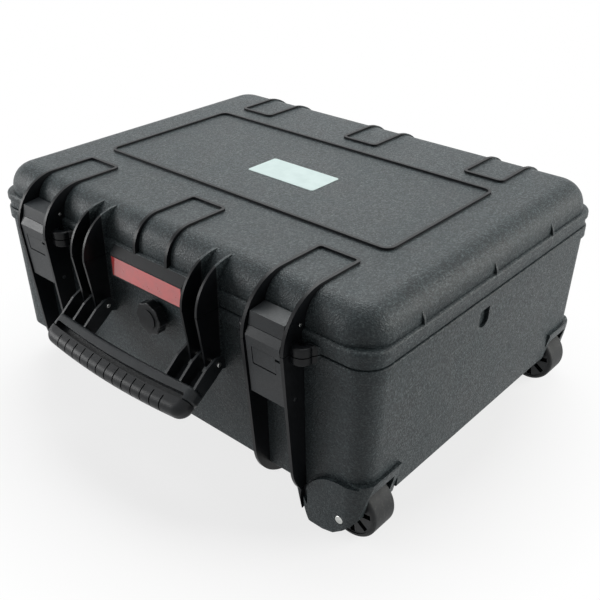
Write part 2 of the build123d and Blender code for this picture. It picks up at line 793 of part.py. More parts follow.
# ---- latches: a lever on the base's pin and a sprung trigger with the hook ----
flap_y = half_width + latch_out
trigger_y = half_width + trigger_pin_out
trigger_z = parting_height + trigger_pin_rise
block_y = flap_y - head_lean
hook_z = striker_z + striker_radius + hook_gap
lip_z = striker_z + striker_radius - lip_catch
lip_y = striker_y - striker_radius - lip_gap
button_middle = parting_height - (button_top + button_bottom) / 2


def flap_at(drop):
    """Distance of the flap's face from the middle of the case, at a drop below the parting line."""
    return flap_y - latch_lean * (drop + latch_crease) / (latch_bottom + latch_crease)


def lever_outline():
    """Side of the lever: its face with a crease, its head, and the boss that turns on the pin."""
    with BuildLine() as edge:
        Polyline((-flap_y + latch_lean, parting_height - latch_bottom),
                 (-flap_y, parting_height + latch_crease),
                 (-block_y, parting_height + latch_top),
                 (-flap_y + latch_depth, parting_height + latch_top),
                 (-flap_y + latch_depth, parting_height - button_bottom),
                 (-latch_pin_y + latch_boss, latch_pin_z),
                 (-latch_pin_y, latch_pin_z - latch_boss), close=True)
    make_face(edge.edges())


for side, name in ((-1, "left"), (1, "right")):
    mid_x = side * station
    with BuildPart() as latch_lever:
        with BuildSketch(section(mid_x)):
            lever_outline()
        extrude(amount=latch_width / 2, both=True)
        # hollow behind the face, between the cheeks
        with BuildSketch(section(mid_x)):
            with BuildLine():
                Polyline((-flap_at(latch_pin_drop + 2 * latch_boss) + latch_skin,
                          latch_pin_z - 2 * latch_boss),
                         (-flap_y + latch_skin, parting_height + latch_crease),
                         (-block_y + latch_skin, parting_height + latch_top),
                         (-block_y + latch_skin, parting_height + latch_top + overcut),
                         (-half_width, parting_height + latch_top + overcut),
                         (-half_width, latch_pin_z - 2 * latch_boss), close=True)
            make_face()
        extrude(amount=latch_width / 2 - latch_cheek, both=True, mode=Mode.SUBTRACT)
        # sleeve that turns on the pin
        with BuildSketch(section(mid_x)):
            with Locations((-latch_pin_y, latch_pin_z)):
                Circle(sleeve_radius)
        extrude(amount=latch_width / 2, both=True)
        with BuildSketch(section(mid_x)):
            with Locations((-latch_pin_y, latch_pin_z)):
                Circle(latch_pin_radius + running_gap)
            with Locations((-trigger_y, trigger_z)):
                Circle(trigger_pin_radius + running_gap)
        extrude(amount=latch_width / 2, both=True, mode=Mode.SUBTRACT)
        # window for the button, and the small slot beside it
        with BuildSketch(facing(-flap_y - overcut)):
            with Locations((mid_x, button_middle)):
                RectangleRounded(button_width, button_bottom - button_top, latch_round)
            with Locations((mid_x + (button_width + catch_width) / 2,
                            parting_height - button_top - catch_height)):
                Rectangle(catch_width + 2 * overcut, catch_height)
        extrude(amount=-(latch_lean + latch_skin), mode=Mode.SUBTRACT)
        fillet(latch_lever.edges().filter_by(Axis.X).sort_by(Axis.Z)[0], radius=latch_round)
    latch_lever.part.label = f"latch_lever_{name}"
    export_step(latch_lever.part, f"parts/latch_lever_{name}.step")

    with BuildPart() as latch_trigger:
        # button in the window, its face in line with the flap's
        with BuildSketch(section(mid_x)):
            high = button_top + button_gap
            low = button_bottom - button_drop_gap
            with BuildLine():
                Polyline((-flap_at(high) + button_sink, parting_height - high),
                         (-flap_at(low) + button_sink, parting_height - low),
                         (-flap_at(low) + button_sink + button_thick, parting_height - low),
                         (-flap_at(high) + button_sink + button_thick, parting_height - high), close=True)
            make_face()
        extrude(amount=button_width / 2 - button_gap, both=True)
        # arm past its own pin up to the block
        with BuildSketch(section(mid_x)):
            with BuildLine():
                FilletPolyline((-flap_at(parting_height - button_middle) + button_thick - button_sink,
                                button_middle),
                               (-trigger_y - arm_thick / 2, parting_height),
                               (-trigger_y, trigger_z), (-trigger_y, hook_z), radius=arm_thick)
                offset(amount=arm_thick / 2)
            make_face()
            with Locations((-trigger_y, trigger_z)):
                Circle(trigger_hub)
        extrude(amount=arm_width / 2, both=True)
        with BuildSketch(section(mid_x)):
            with Locations((-trigger_y, trigger_z)):
                Circle(trigger_pin_radius)
        extrude(amount=latch_width / 2 - trigger_end_gap, both=True)
        # block over the head, with the lip that catches the striker
        with BuildSketch(section(mid_x)):
            with BuildLine():
                Polyline((-block_y, parting_height + latch_top + block_gap),
                         (-block_y + block_lean, parting_height + block_rise),
                         (-lip_y + lip_thick, parting_height + block_top),
                         (-lip_y + lip_thick, lip_z), (-lip_y, lip_z), (-lip_y, hook_z),
                         (-block_y + block_lean + block_wall, hook_z),
                         (-block_y + block_wall, parting_height + latch_top + block_gap), close=True)
            make_face()
        extrude(amount=latch_width / 2, both=True)
    latch_trigger.part.label = f"latch_trigger_{name}"
    export_step(latch_trigger.part, f"parts/latch_trigger_{name}.step")

# ---- front handle: an arm frame on two pins, with a rubber grip ----
def handle_side(x):
    """Upright plane along an arm: drawn as (out from the pivot, up from the arm's middle)."""
    return Plane(origin=(x, case_y - handle_y, handle_z), x_dir=(0, -sag_cos, -sag_sin), z_dir=(-1, 0, 0))


def handle_level(rise):
    """Plane of the handle, seen from above: drawn as (X, minus the distance from the pivot)."""
    return Plane(origin=(0, case_y - handle_y - rise * sag_sin, handle_z + rise * sag_cos),
                 x_dir=(1, 0, 0), z_dir=(0, -sag_sin, sag_cos))


def bar_outline(near, bow, far, half):
    """Part of the bar seen from above: near edge with its own bow, far edge bowed as the grip."""
    with BuildLine() as edge:
        ThreePointArc((-half, -near), (0, -near - bow), (half, -near))
        Line((half, -near), (half, -far))
        ThreePointArc((half, -far), (0, -far - grip_bow), (-half, -far))
        Line((-half, -far), (-half, -near))
    make_face(edge.edges())


arm_rib_xs = [arm_inner + arm_rib / 2, (arm_inner + arm_outer) / 2, arm_outer - arm_rib / 2]
arm_start = arm_boss + arm_neck
along_arm = Axis((0, 0, 0), (0, -sag_cos, -sag_sin))
across_arm = Axis((0, 0, 0), (0, -sag_sin, sag_cos))

with BuildPart() as handle_bar:
    with BuildSketch(handle_level(-grip_bottom)):
        bar_outline(grip_near, near_bow, grip_split, grip_half_length)
    extrude(amount=grip_top + grip_bottom)
    for end in (0, -1):
        end_face = handle_bar.faces().filter_by(GeomType.PLANE).sort_by(Axis.X)[end]
        fillet(end_face.edges().filter_by(along_arm), radius=grip_round)
    near_face = handle_bar.faces().filter_by(GeomType.CYLINDER).sort_by(Axis.Y)[-1]
    fillet(near_face.edges(), radius=near_round)
    # slot along the bar, open at the top
    with BuildSketch(handle_level(grip_top)) as slot_plan:
        bar_outline(slot_near, grip_bow, grip_split + slot_round, grip_half_length)
        with Locations((0, -grip_split)):
            Rectangle(2 * slot_half_length, grip_far, mode=Mode.INTERSECT)
        fillet(slot_plan.vertices().group_by(Axis.Y)[-1], radius=slot_round)
    extrude(amount=-slot_depth, mode=Mode.SUBTRACT)

with BuildPart() as handle_frame:
    with BuildSketch(*[handle_side(s * x) for s in (-1, 1) for x in arm_rib_xs]):
        Circle(arm_boss)
        with BuildLine():
            Polyline((0, arm_boss), (arm_start, arm_half), (grip_near + arm_bite, arm_end_top),
                     (grip_near + arm_bite, -arm_end_bottom), (arm_start, -arm_half), (0, -arm_boss),
                     close=True)
        make_face()
    extrude(amount=arm_rib / 2, both=True)
    for side in (-1, 1):
        with BuildSketch(handle_level(-arm_half)):
            with Locations((side * (arm_inner + arm_outer) / 2, -(arm_start + grip_near + arm_bite) / 2)):
                Rectangle(arm_outer - arm_inner, grip_near + arm_bite - arm_start)
        extrude(amount=arm_web)
    add(handle_bar.part)
    with BuildSketch(handle_side(0)):
        Circle(handle_pin_radius + running_gap)
    extrude(amount=arm_outer + overcut, both=True, mode=Mode.SUBTRACT)
handle_frame.part.label = "handle_frame"
export_step(handle_frame.part, "parts/handle_frame.step")

with BuildPart() as grip_inner:
    with BuildSketch(handle_level(-grip_bottom + groove_depth)) as inner_plan:
        bar_outline(slot_near, grip_bow, grip_far - groove_depth, grip_half_length - groove_depth)
        fillet(inner_plan.vertices().group_by(Axis.Y)[0], radius=grip_corner - groove_depth)
    extrude(amount=grip_top + grip_bottom - 2 * groove_depth)
    near_face = grip_inner.faces().filter_by(GeomType.CYLINDER).sort_by(Axis.Y)[-1]
    caps = grip_inner.faces().sort_by(across_arm)
    fillet(caps[0].edges() + caps[-1].edges() - near_face.edges(), radius=grip_round - groove_depth)

with BuildPart() as grip_grooves:
    with BuildSketch(handle_level(-2 * grip_bottom)):
        with Locations((0, -grip_split - groove_start - grip_far / 2)):
            with GridLocations(groove_pitch, 1, groove_count, 1):
                Rectangle(groove_width, grip_far)
    extrude(amount=4 * grip_bottom)
    add(grip_inner.part, mode=Mode.SUBTRACT)

with BuildPart() as handle_grip:
    with BuildSketch(handle_level(-grip_bottom)) as grip_plan:
        bar_outline(grip_split, grip_bow, grip_far, grip_half_length)
        fillet(grip_plan.vertices().group_by(Axis.Y)[0], radius=grip_corner)
    extrude(amount=grip_top + grip_bottom)
    near_face = handle_grip.faces().filter_by(GeomType.CYLINDER).sort_by(Axis.Y)[-1]
    caps = handle_grip.faces().sort_by(across_arm)
    fillet(caps[0].edges() + caps[-1].edges() - near_face.edges(), radius=grip_round)
    add(grip_grooves.part, mode=Mode.SUBTRACT)
handle_grip.part.label = "handle_grip"
export_step(handle_grip.part, "parts/handle_grip.step")

with BuildPart() as handle_pins:
    for side in (-1, 1):
        with BuildSketch(section(side * (arm_inner + arm_outer) / 2)):
            with Locations((-handle_y, handle_z)):
                Circle(handle_pin_radius)
        extrude(amount=(arm_outer - arm_inner) / 2 + arm_rib / 2, both=True)
    chamfer(handle_pins.edges().filter_by(GeomType.CIRCLE), length=pin_chamfer)
handle_pins.part.label = "handle_pins"
export_step(handle_pins.part, "parts/handle_pins.step")

# ---- pressure valve in the front wall ----
with BuildPart() as valve_body:
    with BuildSketch(facing(-half_width + 2 * wall)):
        with Locations((0, valve_z)):
            Circle(valve_stem + valve_sleeve)
    extrude(amount=2 * wall)
    with BuildSketch(facing(-half_width - valve_seal_thick)):
        with Locations((0, valve_z)):
            Circle(valve_flange)
    extrude(amount=valve_cap_thick)
    with BuildSketch(facing(-half_width)):
        with Locations((0, valve_z)):
            Circle(valve_stem + valve_sleeve)
    extrude(amount=valve_seal_thick)
    chamfer(valve_body.faces().sort_by(Axis.Y)[0].edges(), length=pin_chamfer)
    with BuildSketch(facing(-half_width + 2 * wall)):
        with Locations((0, valve_z)):
            Circle(valve_stem + running_gap)
    extrude(amount=4 * wall, mode=Mode.SUBTRACT)
valve_body.part.label = "valve_body"
export_step(valve_body.part, "parts/valve_body.step")

with BuildPart() as valve_seal:
    with BuildSketch(facing(-half_width)):
        with Locations((0, valve_z)):
            Circle(valve_flange - rest_gap)
            Circle(valve_stem + valve_sleeve, mode=Mode.SUBTRACT)
    extrude(amount=valve_seal_thick)
valve_seal.part.label = "valve_seal"
export_step(valve_seal.part, "parts/valve_seal.step")

with BuildPart() as valve_knob:
    with BuildSketch(facing(-half_width - rest_gap)):
        with Locations((0, valve_z)):
            Circle(valve_radius - lobe_height)
            with PolarLocations(valve_radius - lobe_radius, valve_lobes):
                Circle(lobe_radius)
    extrude(amount=valve_knob_thick)
    fillet(valve_knob.faces().sort_by(Axis.Y)[0].edges(), radius=knob_round)
    with BuildSketch(facing(-half_width - rest_gap - valve_knob_thick)):
        with Locations((0, valve_z)):
            Circle(valve_radius - knob_cap_inset)
    extrude(amount=valve_cap_thick / 2)
    with BuildSketch(facing(-half_width - rest_gap)):
        with Locations((0, valve_z)):
            Circle(valve_flange + valve_clear)
    extrude(amount=valve_seal_thick + valve_cap_thick + valve_clear, mode=Mode.SUBTRACT)
    with BuildSketch(facing(-half_width + 2 * wall - valve_clear)):
        with Locations((0, valve_z)):
            Circle(valve_stem)
    extrude(amount=2 * wall + valve_knob_thick - 2 * valve_clear)
valve_knob.part.label = "valve_knob"
export_step(valve_knob.part, "parts/valve_knob.step")

# ---- wheels in housings at the two lower corners ----
with BuildPart() as corner_limit:
    with BuildSketch(level(0)):
        RectangleRounded(rim_length - 2 * housing_out, rim_width - 2 * housing_out, housing_corner)
    extrude(amount=parting_height)

for side, name in ((-1, "front"), (1, "back")):
    wheel_y = side * (wheel_inner_y + wheel_width / 2)
    with BuildPart() as arch_line:
        with BuildSketch(facing(side * housing_outer_y)):
            cheek_outline(arch_gap + overcut)
            cheek_outline(0, mode=Mode.SUBTRACT)
        extrude(amount=side * arch_gap_depth)

    with BuildPart() as wheel_housing:
        with BuildSketch(facing(side * housing_inner_y)):
            body_radius = cheek_radius + arch_gap - rest_gap
            meet_x = wheel_x - sqrt(body_radius ** 2 - (underside - wheel_radius) ** 2)
            with BuildLine():
                Line((meet_x, underside), (housing_start, underside))
                lower_edge = FilletPolyline((housing_start, underside),
                                            *[(wheel_x + x, housing_clear + z) for x, z in housing_steps],
                                            (housing_x, cheek_top), radius=housing_round)
                Polyline(lower_edge @ 1, (housing_x, wheel_radius + body_radius),
                         (wheel_x, wheel_radius + body_radius))
                CenterArc((wheel_x, wheel_radius), body_radius, 90,
                          90 - degrees(asin((underside - wheel_radius) / body_radius)))
            make_face()
        extrude(amount=-side * (housing_outer_y - housing_inner_y))
        add(corner_limit.part, mode=Mode.INTERSECT)
        add(arch_line.part, mode=Mode.SUBTRACT)
        # space for the wheel, open below and to the end
        with BuildSketch(facing(wheel_y + side * (wheel_width / 2 + wheel_gap))):
            with Locations((wheel_x, wheel_radius)):
                Circle(wheel_radius + wheel_room)
            with Locations((wheel_x - wheel_radius - wheel_room, 0)):
                Rectangle(3 * wheel_radius, wheel_radius, align=(Align.MIN, Align.MIN))
            with Locations((wheel_x, 0)):
                Rectangle(2 * wheel_radius, 2 * wheel_radius + wheel_room, align=(Align.MIN, Align.MIN))
        extrude(amount=side * (wheel_width + 2 * wheel_gap), mode=Mode.SUBTRACT)
        # triangular pocket that leaves a brace at the inner end of the cheek
        with BuildSketch(facing(side * housing_outer_y)):
            with BuildLine():
                Polyline((wheel_x - brace_back, underside - overcut),
                         (wheel_x - brace_front, underside - overcut),
                         (wheel_x - brace_front, underside - brace_drop), close=True)
            make_face()
        extrude(amount=side * brace_depth, mode=Mode.SUBTRACT)
        with BuildSketch(facing(0)):
            with Locations((wheel_x, wheel_radius)):
                Circle(axle_radius)
        extrude(amount=-side * half_width, mode=Mode.SUBTRACT)
    wheel_housing.part.label = f"wheel_housing_{name}"
    export_step(wheel_housing.part, f"parts/wheel_housing_{name}.step")

    with BuildPart() as wheel_hub:
        with BuildSketch(facing(wheel_y)):
            with Locations((wheel_x, wheel_radius)):
                Circle(wheel_radius - tread_thick)
        extrude(amount=wheel_width / 2 - hub_inset, both=True)
        # radial slots in both faces
        for face_side in (-1, 1):
            with BuildSketch(facing(wheel_y + face_side * wheel_width / 2)):
                with Locations((wheel_x, wheel_radius)):
                    with PolarLocations(hub_slot_radius, hub_slot_count, start_angle=hub_slot_turn):
                        Rectangle(hub_slot_length, hub_slot_width)
            extrude(amount=face_side * hub_slot_depth, mode=Mode.SUBTRACT)
        with BuildSketch(facing(wheel_y)):
            with Locations((wheel_x, wheel_radius)):
                Circle(hub_boss)
        extrude(amount=wheel_width / 2, both=True)
        with BuildSketch(facing(wheel_y)):
            with Locations((wheel_x, wheel_radius)):
                Circle(axle_radius + running_gap)
        extrude(amount=wheel_width, both=True, mode=Mode.SUBTRACT)
    wheel_hub.part.label = f"wheel_hub_{name}"
    export_step(wheel_hub.part, f"parts/wheel_hub_{name}.step")

    with BuildPart() as wheel_tyre:
        with BuildSketch(facing(wheel_y)):
            with Locations((wheel_x, wheel_radius)):
                Circle(wheel_radius)
        extrude(amount=wheel_width / 2, both=True)
        fillet(wheel_tyre.edges().filter_by(GeomType.CIRCLE), radius=tread_round)
        with BuildSketch(facing(wheel_y)):
            with Locations((wheel_x, wheel_radius)):
                Circle(wheel_radius - tread_thick)
        extrude(amount=wheel_width, both=True, mode=Mode.SUBTRACT)
    wheel_tyre.part.label = f"wheel_tyre_{name}"
    export_step(wheel_tyre.part, f"parts/wheel_tyre_{name}.step")

with BuildPart() as wheel_axles:
    for side in (-1, 1):
        with BuildSketch(facing(side * (housing_inner_y + axle_inset))):
            with Locations((wheel_x, wheel_radius)):
                Circle(axle_radius)
        extrude(amount=-side * (housing_outer_y - housing_inner_y - axle_inset))
    chamfer(wheel_axles.edges().filter_by(GeomType.CIRCLE), length=axle_chamfer)
wheel_axles.part.label = "wheel_axles"
export_step(wheel_axles.part, "parts/wheel_axles.step")

# ---- feet at the other end ----
for side, name in ((-1, "front"), (1, "back")):
    with BuildPart() as foot:
        with BuildSketch(level(underside)):
            with Locations((foot_x, side * foot_y)):
                RectangleRounded(foot_length, foot_width, foot_corner)
        extrude(amount=-(underside - pad_thick), taper=foot_taper)
    foot.part.label = f"foot_{name}"
    export_step(foot.part, f"parts/foot_{name}.step")

with BuildPart() as foot_pads:
    with BuildSketch(level(0)):
        for side in (-1, 1):
            with Locations((foot_x, side * foot_y)):
                RectangleRounded(foot_length - pad_inset, foot_width - pad_inset, foot_corner - 1)
    extrude(amount=pad_thick)
    fillet(foot_pads.edges().group_by(Axis.Z)[0], radius=2.0)
foot_pads.part.label = "foot_pads"
export_step(foot_pads.part, "parts/foot_pads.step")

# ---- telescopic pull handle in a tray under the base ----
def tube_plane(x):
    """Upright plane across the tubes, facing the end of the case that has the grip bar."""
    return Plane(origin=(x, case_y, tube_level), x_dir=(0, -1, 0), z_dir=(-1, 0, 0))


with BuildPart() as trolley_tray:
    with BuildSketch(level(tray_bottom)):
        with Locations((tube_start + tray_length / 2, 0)):
            Rectangle(tray_length, tray_width)
    extrude(amount=underside - tray_bottom)
    fillet(trolley_tray.edges().group_by(Axis.Z)[0].filter_by(Axis.X), radius=tray_round)
    with BuildSketch(level(underside - tray_lip_thick)):
        with Locations((tube_start + tray_length / 2, 0)):
            RectangleRounded(tray_length, tray_width + 2 * tray_lip, tray_round)
    extrude(amount=tray_lip_thick)
    with BuildSketch(level(tray_bottom + tray_floor)):
        with Locations((tube_start + (tray_length - tray_wall) / 2, 0)):
            Rectangle(tray_length - tray_wall, tray_width - 2 * tray_wall)
    extrude(amount=underside - tray_bottom, mode=Mode.SUBTRACT)
    with BuildSketch(level(underside - tray_lip_thick)):
        for x in screw_xs:
            with Locations((x, -(tray_width + tray_lip) / 2), (x, (tray_width + tray_lip) / 2)):
                Circle(screw_radius)
    extrude(amount=tray_lip_thick, mode=Mode.SUBTRACT)
trolley_tray.part.label = "trolley_tray"
export_step(trolley_tray.part, "parts/trolley_tray.step")

with BuildPart() as tray_screws:
    with BuildSketch(level(underside - tray_lip_thick)):
        for x in screw_xs:
            with Locations((x, -(tray_width + tray_lip) / 2), (x, (tray_width + tray_lip) / 2)):
                Circle(screw_radius)
    extrude(amount=tray_lip_thick + screw_bite)
    with BuildSketch(level(underside - tray_lip_thick)):
        for x in screw_xs:
            with Locations((x, -(tray_width + tray_lip) / 2), (x, (tray_width + tray_lip) / 2)):
                Circle(screw_head_radius)
    extrude(amount=-screw_head_thick)
    fillet(tray_screws.edges().group_by(Axis.Z)[0], radius=1.0)
tray_screws.part.label = "tray_screws"
export_step(tray_screws.part, "parts/tray_screws.step")

with BuildPart() as pull_outer_tubes:
    with BuildSketch(tube_plane(tube_start)):
        for side in (-1, 1):
            with Locations((side * tube_y, 0)):
                RectangleRounded(tube_width, tube_height, tube_corner)
                RectangleRounded(tube_width - 2 * tube_wall, tube_height - 2 * tube_wall,
                                 tube_corner - tube_wall, mode=Mode.SUBTRACT)
    extrude(amount=-tube_length)
pull_outer_tubes.part.label = "pull_outer_tubes"
export_step(pull_outer_tubes.part, "parts/pull_outer_tubes.step")

nest = 2 * (tube_wall + tube_slip)  # each tube is this much smaller than the one round it
with BuildPart() as pull_middle_tubes:
    with BuildSketch(tube_plane(tube_start - collar_length)):
        for side in (-1, 1):
            with Locations((side * tube_y, 0)):
                RectangleRounded(tube_width - nest, tube_height - nest, tube_corner - 1)
    extrude(amount=-(tube_length - tube_end_gap + collar_length))
    with BuildSketch(tube_plane(tube_start - rest_gap)):
        for side in (-1, 1):
            with Locations((side * tube_y, 0)):
                RectangleRounded(tube_width, tube_height, tube_corner)
    extrude(amount=collar_length - rest_gap)
    with BuildSketch(tube_plane(tube_start - collar_length)):
        for side in (-1, 1):
            with Locations((side * tube_y, 0)):
                RectangleRounded(tube_width - nest - 2 * tube_wall, tube_height - nest - 2 * tube_wall, 1.0)
    extrude(amount=-2 * tube_length, mode=Mode.SUBTRACT)
pull_middle_tubes.part.label = "pull_middle_tubes"
export_step(pull_middle_tubes.part, "parts/pull_middle_tubes.step")

with BuildPart() as pull_inner_tubes:
    with BuildSketch(tube_plane(grip_bar_x + grip_bar_bite)):
        for side in (-1, 1):
            with Locations((side * tube_y, 0)):
                RectangleRounded(tube_width - 2 * nest, tube_height - 2 * nest, tube_inner_corner)
    extrude(amount=-(tube_start + tube_length - 2 * tube_end_gap - grip_bar_x))
pull_inner_tubes.part.label = "pull_inner_tubes"
export_step(pull_inner_tubes.part, "parts/pull_inner_tubes.step")

with BuildPart() as pull_grip:
    with BuildSketch(level(tube_level)):
        with Locations((grip_bar_x, 0)):
            RectangleRounded(grip_bar_depth, 2 * tube_y + tube_width + grip_bar_over, grip_bar_corner)
    extrude(amount=grip_bar_height / 2, both=True)
    fillet(pull_grip.edges().group_by(Axis.Z)[0] + pull_grip.edges().group_by(Axis.Z)[-1],
           radius=grip_bar_round)
    # sockets for the inner tubes, slot for the release button
    with BuildSketch(tube_plane(grip_bar_x + grip_bar_bite)):
        for side in (-1, 1):
            with Locations((side * tube_y, 0)):
                RectangleRounded(tube_width - 2 * nest, tube_height - 2 * nest, tube_inner_corner)
    extrude(amount=-grip_bar_depth, mode=Mode.SUBTRACT)
    with BuildSketch(tube_plane(grip_bar_x - grip_bar_depth / 2)):
        RectangleRounded(pull_button_length + 2 * button_gap, pull_button_height + 2 * button_gap,
                         pull_button_corner + button_gap)
    extrude(amount=-(pull_button_depth + pull_button_travel + overcut), mode=Mode.SUBTRACT)
pull_grip.part.label = "pull_grip"
export_step(pull_grip.part, "parts/pull_grip.step")

with BuildPart() as pull_button:
    with BuildSketch(tube_plane(grip_bar_x - grip_bar_depth / 2)):
        RectangleRounded(pull_button_length, pull_button_height, pull_button_corner)
    extrude(amount=-pull_button_depth)
    fillet(pull_button.faces().sort_by(Axis.X)[0].edges(), radius=pull_button_round)
pull_button.part.label = "pull_button"
export_step(pull_button.part, "parts/pull_button.step")

# ---- foam inside ----
pockets_start = -(pocket_length + pocket_divider + side_pocket_length) / 2
with BuildPart() as base_foam:
    with BuildSketch(level(parting_height - foam_gap)):
        RectangleRounded(2 * (wall_half_length - wall - foam_gap), 2 * (wall_half_width - wall - foam_gap),
                         rim_corner - flange_step - wall - foam_gap)
    extrude(amount=-(base_depth - wall - foam_gap), taper=base_draft)
    for side in (-1, 1):
        with BuildSketch(facing(side * (housing_inner_y - wall - foam_gap))):
            cheek_outline(arch_gap + wall + foam_gap)
        extrude(amount=-side * half_width, mode=Mode.SUBTRACT)
    with BuildSketch(level(parting_height)):
        with Locations((wall_half_length - wall, notch_y)):
            Rectangle(2 * (notch_depth + foam_gap), notch_width + 2 * (wall + foam_gap))
    extrude(amount=-(notch_bottom + wall + foam_gap), mode=Mode.SUBTRACT)
    with BuildSketch(level(parting_height - foam_gap)):
        with Locations((pockets_start + pocket_length / 2, 0)):
            RectangleRounded(pocket_length, pocket_width, pocket_corner)
    extrude(amount=-pocket_depth, mode=Mode.SUBTRACT)
    with BuildSketch(level(parting_height - foam_gap)):
        with Locations((pockets_start + pocket_length + pocket_divider + side_pocket_length / 2, 0)):
            RectangleRounded(side_pocket_length, pocket_width, pocket_corner)
    extrude(amount=-side_pocket_depth, mode=Mode.SUBTRACT)
    # three layers, which lie on each other at the floors of the pockets
    for depth in (pocket_depth, side_pocket_depth):
        split(bisect_by=level(parting_height - foam_gap - depth), keep=Keep.BOTH)
base_foam.part.label = "base_foam"
export_step(base_foam.part, "parts/base_foam.step")

with BuildPart() as lid_foam:
    with BuildSketch(level(top - wall - lid_foam_thick)):
        RectangleRounded(rim_length - 2 * (lid_wall_inset + foam_gap),
                         rim_width - 2 * (lid_wall_inset + foam_gap),
                         dome_corner - wall - foam_gap)
    extrude(amount=lid_foam_thick)
    fillet(lid_foam.edges().group_by(Axis.Z)[-1], radius=roll_radius - wall)
lid_foam.part.label = "lid_foam"
export_step(lid_foam.part, "parts/lid_foam.step")
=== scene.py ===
import math

import bmesh
import bpy
from mathutils import Matrix, Vector, noise as wander


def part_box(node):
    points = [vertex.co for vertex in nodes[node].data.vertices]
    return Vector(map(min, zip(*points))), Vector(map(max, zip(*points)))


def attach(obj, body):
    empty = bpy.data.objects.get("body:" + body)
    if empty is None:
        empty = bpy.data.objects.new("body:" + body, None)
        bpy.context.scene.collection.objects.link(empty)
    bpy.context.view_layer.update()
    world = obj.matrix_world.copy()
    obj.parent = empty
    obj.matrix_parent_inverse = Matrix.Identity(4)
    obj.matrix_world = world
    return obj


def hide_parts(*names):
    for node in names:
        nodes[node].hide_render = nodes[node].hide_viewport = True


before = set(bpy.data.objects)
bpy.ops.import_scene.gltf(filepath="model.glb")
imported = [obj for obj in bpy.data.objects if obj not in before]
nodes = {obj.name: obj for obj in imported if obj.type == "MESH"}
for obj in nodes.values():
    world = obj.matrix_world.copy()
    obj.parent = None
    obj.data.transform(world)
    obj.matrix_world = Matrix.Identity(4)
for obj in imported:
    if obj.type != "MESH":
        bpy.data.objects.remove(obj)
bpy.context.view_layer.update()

print("case loaded,", len(nodes), "nodes")

shot = {
    "lens": 51.1,                                # mm, on a 36 mm sensor
    "down": 29.94,                               # degrees under the horizon
    "turn": 41.16,                               # degrees to the left of straight on
    "roll": 0.15,
    "place": (0.6547, -0.7025, 0.6582),          # metres
}


def makeCamera(look):
    data = bpy.data.cameras.new("camera")
    data.lens = look["lens"]
    data.sensor_width = 36.0
    camera = bpy.data.objects.new("camera", data)
    camera.location = look["place"]
    aim = (Matrix.Rotation(math.radians(look["turn"]), 4, "Z")
           @ Matrix.Rotation(math.radians(90 - look["down"]), 4, "X")
           @ Matrix.Rotation(math.radians(look["roll"]), 4, "Z"))
    camera.rotation_euler = aim.to_euler()
    bpy.context.collection.objects.link(camera)
    bpy.context.scene.camera = camera


makeCamera(shot)
print("camera placed")


# screen colour, 0 to 255, as the linear colour that a shader takes
def screen(red, green, blue):
    return tuple(((value / 255 + 0.055) / 1.055) ** 2.4 if value > 10 else value / 255 / 12.92
                 for value in (red, green, blue)) + (1.0,)


def startMaterial(name, roughness, **sockets):
    material = bpy.data.materials.new(name)
    material.use_nodes = True
    tree = material.node_tree
    shader = tree.nodes["Principled BSDF"]
    shader.inputs["Roughness"].default_value = roughness
    for socket, value in sockets.items():
        shader.inputs[socket.replace("_", " ")].default_value = value
    return material, tree, shader


# a place on the case, drawn out along a turned direction where a pattern has to run lengthways
def placeOn(tree, stretch=(1, 1, 1), turn=(0, 0, 0)):
    coords = tree.nodes.new("ShaderNodeTexCoord")
    mapping = tree.nodes.new("ShaderNodeMapping")
    mapping.vector_type = "TEXTURE"
    mapping.inputs["Scale"].default_value = stretch
    mapping.inputs["Rotation"].default_value = [math.radians(angle) for angle in turn]
    tree.links.new(coords.outputs["Object"], mapping.inputs["Vector"])
    return mapping.outputs["Vector"]


def clouds(tree, vector, scale, detail=4.0, roughness=0.6, distortion=0.0):
    node = tree.nodes.new("ShaderNodeTexNoise")
    node.inputs["Scale"].default_value = scale
    node.inputs["Detail"].default_value = detail
    node.inputs["Roughness"].default_value = roughness
    node.inputs["Distortion"].default_value = distortion
    tree.links.new(vector, node.inputs["Vector"])
    return node.outputs["Fac"]


def cells(tree, vector, scale, feature="SMOOTH_F1", smoothness=0.4):
    node = tree.nodes.new("ShaderNodeTexVoronoi")
    node.feature = feature
    node.inputs["Scale"].default_value = scale
    if feature == "SMOOTH_F1":
        node.inputs["Smoothness"].default_value = smoothness
    tree.links.new(vector, node.inputs["Vector"])
    return node.outputs["Distance"]


def ramp(tree, fac, stops):
    node = tree.nodes.new("ShaderNodeValToRGB")
    bar = node.color_ramp
    bar.elements[0].position, bar.elements[0].color = stops[0]
    bar.elements[1].position, bar.elements[1].color = stops[-1]
    for position, colour in stops[1:-1]:
        bar.elements.new(position).color = colour
    tree.links.new(fac, node.inputs["Fac"])
    return node.outputs["Color"]


def spread(tree, fac, low, high, fromLow=0.3, fromHigh=0.7):
    node = tree.nodes.new("ShaderNodeMapRange")
    node.inputs["From Min"].default_value = fromLow
    node.inputs["From Max"].default_value = fromHigh
    node.inputs["To Min"].default_value = low
    node.inputs["To Max"].default_value = high
    tree.links.new(fac, node.inputs["Value"])
    return node.outputs["Result"]


def combine(tree, operation, first, second=0.0):
    node = tree.nodes.new("ShaderNodeMath")
    node.operation = operation
    for socket, value in zip(node.inputs, (first, second)):
        if isinstance(value, (int, float)):
            socket.default_value = value
        else:
            tree.links.new(value, socket)
    return node.outputs["Value"]


def blendColours(tree, fac, first, second, mode="MIX"):
    node = tree.nodes.new("ShaderNodeMix")
    node.data_type = "RGBA"
    node.blend_type = mode
    tree.links.new(fac, node.inputs["Factor"])
    for socket, value in ((node.inputs[6], first), (node.inputs[7], second)):
        if isinstance(value, tuple):
            socket.default_value = value
        else:
            tree.links.new(value, socket)
    return node.outputs[2]


